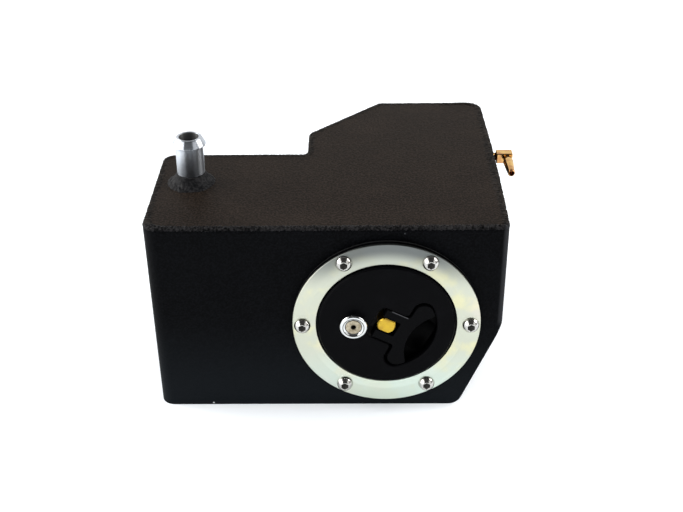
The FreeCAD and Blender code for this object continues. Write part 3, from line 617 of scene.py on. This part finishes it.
def moulding_material(name, colour, rough, gloss, painted_recess_share=0.0):
    """Fine matt surface.

    The last argument sets how strongly painted shade darkens the finger scoop and painted light pales
    the pocket at the handle's heel.
    """
    material, shade = blank_material(name)
    place = part_place(shade)
    fine = grain(shade, place, 0.5 * MM)
    cloud = grain(shade, place, 9 * MM, 3.0)
    pale = tuple(2.2 * value for value in colour[:3]) + (1.0,)
    tone = (cloud.fade(0.45, 0.8) * 0.5 + fine.fade(0.45, 0.75) * 0.5).mix(colour, pale)
    if painted_recess_share:
        x, y, z = apart(shade, place)
        along, aside = handle_frame(x, z)
        pocket = along.fade(*HEEL_NEAR) * along.fade(*HEEL_FAR) * aside.size().fade(*HEEL_ASIDE)
        painted_heel_light = y.fade(*HEEL_DEPTH) * pocket * painted_recess_share
        painted_scoop_shade = y.fade(*SCOOP_DEPTH) * (x - FILLER_X * MM).fade(*SCOOP_ACROSS) * painted_recess_share
        # painted shade in the scoop, painted light in the heel pocket
        tone = painted_scoop_shade.mix(painted_heel_light.mix(tone, HEEL_PAINTED_LIGHT), SCOOP_PAINTED_SHADE)
    surface(shade, {
        "Base Color": tone,
        "Roughness": rough + fine * 0.1 + cloud * 0.05,
        "Specular IOR Level": gloss,
        "Normal": bump(shade, fine, 0.03 * MM, 0.6),
    })
    return material


moulding = moulding_material(
    "black_moulding", (0.0014, 0.0014, 0.0018, 1.0), rough=0.36, gloss=0.036, painted_recess_share=0.95)
rubber = moulding_material("black_rubber", (0.0100, 0.0100, 0.0100, 1.0), rough=0.62, gloss=0.25)
wear(nodes["filler_neck"], moulding)
wear(nodes["filler_gasket"], rubber)
wear(nodes["backing_ring"], aluminium)


# Clamp ring
# Pressed steel ring, zinc plated and passivated: pale with yellow and pink clouds, green
# with painted floor reflection at the bottom, and greyed by painted shade at the top, most
# along the outer band.
RING_RADIUS = 53.0
RING_PALE = (0.60, 0.62, 0.51, 1.0)
RING_LOW_GREEN_REFLECTION = (0.68, 0.78, 0.69, 1.0)
RING_YELLOW = (0.76, 0.73, 0.45, 1.0)
RING_PINK = (0.80, 0.70, 0.62, 1.0)
RING_TOP_SHADE = (0.40, 0.42, 0.38, 1.0)
RING_OUTER_SHADE = (0.13, 0.14, 0.14, 1.0)


def zinc_material(name):
    """Plated metal with clouds of tint; heights and radii are shares of the ring's radius."""
    material, shade = blank_material(name)
    place = part_place(shade)
    x, _, z = apart(shade, place)
    rise = (z - FILLER_Z * MM) / (RING_RADIUS * MM)
    radius = axis_distance(x, z, FILLER_X, FILLER_Z) / RING_RADIUS
    cloud = grain(shade, place, 16 * MM, 4.0)
    tint = grain(shade, place, 26 * MM)
    fine = grain(shade, place, 0.6 * MM, 3.0)
    low = rise.fade(-0.35, -0.75)
    painted_top_shade = rise.fade(0.42, 0.90)
    painted_outer_shade = painted_top_shade * radius.fade(0.76, 0.94)
    # Paler and greener towards the bottom: a green tint with painted floor reflection.
    tone = rise.fade(-0.2, -0.9).mix(RING_PALE, RING_LOW_GREEN_REFLECTION)
    tone = (cloud.fade(0.44, 0.64) * (0.8 - 0.6 * low)).mix(tone, RING_YELLOW)
    tone = (tint.fade(0.52, 0.74) * (0.7 - 0.5 * low)).mix(tone, RING_PINK)
    # Painted shade greys the top, most along its outer band.
    tone = (painted_top_shade * 0.55).mix(tone, RING_TOP_SHADE)
    tone = (painted_outer_shade * 0.92).mix(tone, RING_OUTER_SHADE)
    surface(shade, {
        "Base Color": tone,
        "Metallic": 1.0,
        "Roughness": 0.26 + cloud * 0.10 + fine * 0.06,
        "Normal": bump(shade, fine, 0.01 * MM, 0.5),
    })
    return material


zinc = zinc_material("passivated_zinc")
wear(nodes["clamp_ring"], zinc)


# Ring screws
# Six button head screws of polished stainless steel: rounded heads with a small
# flat face and a hexagon socket, lined with a dark piece that paints shade into it.
SCREW_COUNT = 6
SCREW_CIRCLE = 47.5
SCREW_SEAT = -89.5
SCREW_RADIUS = 4.8
SCREW_RIM = 0.1
SCREW_DOME = 4.95
SCREW_FACE = 2.55
SCREW_BODY = [
    (ON_AXIS, -11.0), (2.45, -11.0), (2.45, -0.02), (4.6, -0.02), (SCREW_RADIUS, SCREW_RIM),
]
DOME_STEPS = 10
SOCKET_HALF = 1.95
SOCKET_FLOOR = 2.1


def screw_profile(shape, flat):
    """Section of a screw's outside or of the dark lining that paints shade into its socket, whose wall
    is flat away.
    """
    low = math.asin(SCREW_RADIUS / SCREW_DOME)
    high = math.asin(SCREW_FACE / SCREW_DOME)
    base = SCREW_DOME * math.cos(low) - SCREW_RIM
    face = SCREW_DOME * math.cos(high) - base
    if shape == "socket":
        return [
            (flat - 0.01, face - 0.12), (flat - 0.01, face - SOCKET_FLOOR + 0.05),
            (ON_AXIS, face - SOCKET_FLOOR), (ON_AXIS, face - SOCKET_FLOOR + 0.1),
            (flat - 0.12, face - SOCKET_FLOOR + 0.2), (flat - 0.06, face - 0.12),
        ]
    leans = [low + (high - low) * k / DOME_STEPS for k in range(1, DOME_STEPS + 1)]
    dome = [(SCREW_DOME * math.sin(lean), SCREW_DOME * math.cos(lean) - base) for lean in leans]
    socket = [
        (SCREW_FACE - 0.06, face + 0.02), (flat + 0.12, face + 0.02), (flat, face - 0.08),
        (flat, face - SOCKET_FLOOR), (ON_AXIS, face - SOCKET_FLOOR - 0.05),
    ]
    return SCREW_BODY + dome + socket


def screw_rows(centre, shape):
    """Rows of a screw's outside or of its socket's painted-shade lining, round the screw's own axis.
    """
    rows = []
    for i in range(TURNED_SIDES):
        angle = 2 * math.pi * i / TURNED_SIDES
        flat = SOCKET_HALF / math.cos((angle + math.pi / 6) % (math.pi / 3) - math.pi / 6)
        rows.append([
            centre + Vector((radius * math.cos(angle), -height, radius * math.sin(angle)))
            for radius, height in screw_profile(shape, flat)
        ])
    return rows


steel = metal_material(
    "polished_steel", (0.62, 0.61, 0.58, 1.0), (0.50, 0.49, 0.46, 1.0),
    rough=0.06, marks=0.4 * MM, mark_depth=0.005 * MM)
heads = []
sockets = []
for i in range(SCREW_COUNT):
    turn = 2 * math.pi * i / SCREW_COUNT
    across = FILLER_X + SCREW_CIRCLE * math.cos(turn)
    seat = Vector((across, SCREW_SEAT, FILLER_Z + SCREW_CIRCLE * math.sin(turn)))
    heads.append(grid_piece("screw_head_%d" % i, screw_rows(seat, "head")))
    sockets.append(grid_piece("screw_socket_%d" % i, screw_rows(seat, "socket")))
screws = join_pieces("button_screws", heads)
wear(screws, steel)
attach(screws, "tank")
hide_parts("ring_screws")
# Dark lining for the sockets: painted shade.
socket_shade_lining = moulding_material(
    "socket_painted_shade", (0.030, 0.029, 0.026, 1.0), rough=0.40, gloss=0.35)
screw_sockets = join_pieces("screw_sockets", sockets)
wear(screw_sockets, socket_shade_lining)
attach(screw_sockets, "tank")


# Cap plug
# Black moulded plug with a plain flat face, a recess for the folding handle and a
# hole for the lock. A rubber ring behind it seals it in the neck.
# Its moulding paints shade into the finger scoop and light into the pocket at the handle's heel.
wear(nodes["cap_plug"], moulding)
wear(nodes["cap_seal"], rubber)


# T-handle and its pin
# Black moulded handle that lies in the recess and turns on a steel cross pin, over a
# thin wear plate of blackened steel. A painted highlight runs along its hub's upper edge.
# Painted highlight along the upper edge of the hub.
HIGHLIGHT_OFFSET = 9.85
HIGHLIGHT_START = -2.0
HIGHLIGHT_END = 8.2
HIGHLIGHT_DEPTH = (-89.0 * MM, -89.4 * MM)


def handle_material(name, colour, highlight_tone):
    """Black moulding with a painted highlight line along the upper edge of the handle's hub."""
    material, shade = blank_material(name)
    place = part_place(shade)
    x, y, z = apart(shade, place)
    fine = grain(shade, place, 0.5 * MM)
    along, aside = handle_frame(x, z)
    length = along.fade(HIGHLIGHT_START, HIGHLIGHT_START + 1) * along.fade(HIGHLIGHT_END + 1, HIGHLIGHT_END)
    painted_line = (aside - HIGHLIGHT_OFFSET).size().fade(0.30, 0.12) * length * y.fade(*HIGHLIGHT_DEPTH)
    surface(shade, {
        "Base Color": painted_line.mix(colour, highlight_tone),
        "Roughness": 0.38 + fine * 0.1,
        "Specular IOR Level": 0.036,
        "Normal": bump(shade, fine, 0.03 * MM, 0.6),
    })
    return material


highlighted_handle_moulding = handle_material(
    "handle_moulding_painted_highlight", (0.0018, 0.0018, 0.0022, 1.0), highlight_tone=(0.075, 0.075, 0.080, 1.0))
wear(nodes["t_handle"], highlighted_handle_moulding)
black_steel = moulding_material("blackened_steel", (0.030, 0.028, 0.026, 1.0), rough=0.40, gloss=0.20)
wear(nodes["handle_pin"], black_steel)
wear(nodes["cam_plate"], black_steel)


# Draw stem
# Brass stem with two flats; its nut and washer draw the pressure plate against
# the rubber seal behind the plug.
stem_brass = metal_material(
    "bright_brass", (0.64, 0.43, 0.046, 1.0), (0.46, 0.28, 0.045, 1.0),
    rough=0.24, marks=0.4 * MM, mark_depth=0.01 * MM)
wear(nodes["draw_stem"], stem_brass)
wear(nodes["pressure_plate"], aluminium)
wear(nodes["stem_washer"], steel)
wear(nodes["stem_nut"], steel)
wear(nodes["stem_oring"], rubber)


# Lock
# Chrome barrel with a rounded bezel, held by a nut behind the plug. The turning core
# has a pale nickel face disc with a keyhole, and carries a zinc plated tongue.
LOCK_X = 15.0
LOCK_Z = 61.8
KEY_RADIUS = 4.5
KEYHOLE_RADIUS = 1.4
KEY_FACE = (0.50, 0.44, 0.33, 1.0)
KEY_STAIN = (0.30, 0.25, 0.17, 1.0)
# Painted shade for the keyhole and the gap round the core.
KEY_PAINTED_SHADE = (0.006, 0.004, 0.002, 1.0)
DISC_SIDES = 64
DISC_PROFILE = [
    (KEYHOLE_RADIUS, 8.42), (KEYHOLE_RADIUS, 8.75), (1.55, 8.88), (4.35, 8.86), (KEY_RADIUS, 8.80),
    (KEY_RADIUS, 8.72), (4.00, 8.46),
]
BEZEL_BORE = 4.5
BEZEL_DISH = 5.95
BEZEL_CHROME = (0.74, 0.75, 0.74, 1.0)
# Painted shade: a thin line round the dish and a dark edge at the bore.
BEZEL_SHADE_LINE = (0.06, 0.06, 0.055, 1.0)
BEZEL_PAINTED_SHADE = (0.008, 0.007, 0.005, 1.0)


def key_material(name):
    """Pale nickel, with painted shade in the keyhole and in the gap round the core."""
    material, shade = blank_material(name)
    place = part_place(shade)
    x, _, z = apart(shade, place)
    radius = axis_distance(x, z, LOCK_X, LOCK_Z)
    cloud = grain(shade, place, 1.5 * MM, 3.0)
    face = cloud.fade(0.35, 0.7).mix(KEY_FACE, KEY_STAIN)
    hole = 1 - radius.fade(KEYHOLE_RADIUS - 0.1, KEYHOLE_RADIUS + 0.4)
    gap = radius.fade(KEY_RADIUS - 0.22, KEY_RADIUS)
    # painted shade in the keyhole and the gap
    painted_key_shade = shade.sum("MAXIMUM", hole, gap)
    surface(shade, {
        "Base Color": painted_key_shade.mix(face, KEY_PAINTED_SHADE),
        "Metallic": 1 - painted_key_shade,
        "Roughness": 0.30 + cloud * 0.10,
    })
    return material


def bezel_material(name):
    """Chrome with painted shade at the edge of the bore and a thin painted shade line round the dish.
    """
    material, shade = blank_material(name)
    x, _, z = apart(shade, part_place(shade))
    radius = axis_distance(x, z, LOCK_X, LOCK_Z)
    painted_bore_shade = radius.fade(BEZEL_BORE + 0.45, BEZEL_BORE + 0.15)
    painted_line = (1 - (radius - BEZEL_DISH).size().fade(0.10, 0.32)) * 0.92
    surface(shade, {
        "Base Color": painted_bore_shade.mix(painted_line.mix(BEZEL_CHROME, BEZEL_SHADE_LINE), BEZEL_PAINTED_SHADE),
        "Metallic": 1 - painted_bore_shade,
        "Roughness": 0.07 + painted_bore_shade * 0.3,
    })
    return material


def disc_rows():
    """Rows of the core's face disc, round the lock's axis."""
    rows = []
    for i in range(DISC_SIDES):
        turn = 2 * math.pi * i / DISC_SIDES
        rows.append([
            (LOCK_X + radius * math.cos(turn), FRONT_Y - level, LOCK_Z + radius * math.sin(turn))
            for radius, level in DISC_PROFILE
        ])
    return rows


chrome = bezel_material("lock_chrome")
nickel = key_material("nickel_key_face")
wear(nodes["lock_barrel"], chrome)
wear(nodes["lock_nut"], steel)
wear(nodes["key_plug"], nickel)
key_disc = grid_piece("key_face_disc", disc_rows())
wear(key_disc, nickel)
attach(key_disc, "key")
wear(nodes["lock_tongue"], zinc)
wear(nodes["tongue_screw"], steel)


# Floor
# Plain white sheet that the tank stands on; it shows white to the camera
# and keeps the tank's shadow.
FLOOR_REACH = 3.0
FLOOR_GLOW = 0.22
floor_mesh = bpy.data.meshes.new("floor")
floor_corners = [
    (-FLOOR_REACH, -FLOOR_REACH, 0.0), (FLOOR_REACH, -FLOOR_REACH, 0.0),
    (FLOOR_REACH, FLOOR_REACH, 0.0), (-FLOOR_REACH, FLOOR_REACH, 0.0),
]
floor_mesh.from_pydata(floor_corners, [], [(0, 1, 2, 3)])
floor = bpy.data.objects.new("floor", floor_mesh)
bpy.context.scene.collection.objects.link(floor)
floor_white, shade = blank_material("white_sheet")
seen = shade.node("LightPath", {}, {}, "Is Camera Ray")
diffuse = shade.node("BsdfDiffuse", {}, {"Color": (0.84, 0.87, 0.90, 1.0)})
glow = shade.node("Emission", {}, {"Color": (1.0, 1.0, 1.0, 1.0), "Strength": seen * FLOOR_GLOW})
both = shade.node("AddShader", {}, {0: diffuse, 1: glow})
shade.node("OutputMaterial", {}, {"Surface": both})
wear(floor, floor_white)


# Studio light
# Soft lights at the left and the right on a white sweep; the room is dark
# behind the camera and dim overhead.
LEFT_BOX = 2.6
ROOM_DARK = 0.05
ROOM_SOFT = 0.80
BOX_AIM = (0.0, 0.0, 0.05)
BOX_SIDE = 0.6
BOX_POWER = 8.0
BOX_WHITE = (1.0, 0.98, 0.96)
world = bpy.data.worlds.new("studio")
bpy.context.scene.world = world
world.use_nodes = True
world.node_tree.nodes.clear()
shade = Shade(world.node_tree)
sideways, forward, rise = apart(shade, shade.node("TexCoord", {}, {}, "Generated"))
seen = shade.node("LightPath", {}, {}, "Is Camera Ray")
glossy = shade.node("LightPath", {}, {}, "Is Glossy Ray")
through = shade.node("LightPath", {}, {}, "Is Transmission Ray")
mirrored = shade.sum("MAXIMUM", glossy, through)
left = LEFT_BOX * sideways.fade(-0.46, -0.56)
right = sideways.fade(0.46, 0.60) * (1 - 0.7 * sideways.fade(0.78, 0.95))
bright = shade.sum("MAXIMUM", left + right, forward.fade(0.0, 0.4))
room = ROOM_DARK + (1 - ROOM_DARK) * bright * (1 - 0.8 * rise.fade(0.55, 0.80))
strength = seen + (1 - seen) * (mirrored * room + (1 - mirrored) * ROOM_SOFT)
background = shade.node("Background", {}, {"Color": (1.0, 1.0, 1.0, 1.0), "Strength": strength})
shade.node("OutputWorld", {}, {"Surface": background})


def soft_light(name, place, target, width, height, power, colour, mirrored=True):
    """Rectangular soft light aimed at target; mirrored says whether shiny pieces show it."""
    data = bpy.data.lights.new(name, "AREA")
    data.shape = "RECTANGLE"
    data.size = width
    data.size_y = height
    data.energy = power
    data.color = colour
    lamp = bpy.data.objects.new(name, data)
    lamp.location = place
    lamp.visible_glossy = mirrored
    lamp.rotation_euler = (Vector(target) - Vector(place)).to_track_quat("-Z", "Y").to_euler()
    bpy.context.scene.collection.objects.link(lamp)


soft_light("left_box", (-0.90, 0.10, 0.60), BOX_AIM, BOX_SIDE, BOX_SIDE, BOX_POWER, BOX_WHITE)
soft_light("right_box", (0.90, 0.10, 0.60), BOX_AIM, BOX_SIDE, BOX_SIDE, BOX_POWER, BOX_WHITE)
soft_light(
    "front_fill", (0.0, -1.1, 0.90), (0.0, -0.15, 0.0), width=0.8, height=0.5, power=5.0,
    colour=(0.92, 0.96, 1.0), mirrored=False)


# Camera
# The photograph's own place: a little above the tank, looking down at its front.
CAMERA_PLACE = Vector((16.0, -590.1, 411.2)) * MM
CAMERA_TILT = 121.37
CAMERA_SWING = 0.71
CAMERA_ROLL = -0.27
camera_data = bpy.data.cameras.new("camera")
camera_data.sensor_fit = "HORIZONTAL"
camera_data.sensor_width = 36.0
camera_data.lens = 57.0
turn = Matrix.Rotation(math.radians(CAMERA_ROLL), 3, "Z")
turn = turn @ Matrix.Rotation(math.radians(CAMERA_SWING), 3, "Y")
turn = turn @ Matrix.Rotation(math.radians(CAMERA_TILT), 3, "X")
aim = turn.transposed() @ Matrix.Diagonal((1.0, -1.0, -1.0))
camera = bpy.data.objects.new("camera", camera_data)
camera.matrix_world = Matrix.Translation(CAMERA_PLACE) @ aim.to_4x4()
bpy.context.scene.collection.objects.link(camera)
bpy.context.scene.camera = camera
bpy.context.scene.view_settings.view_transform = "Standard"
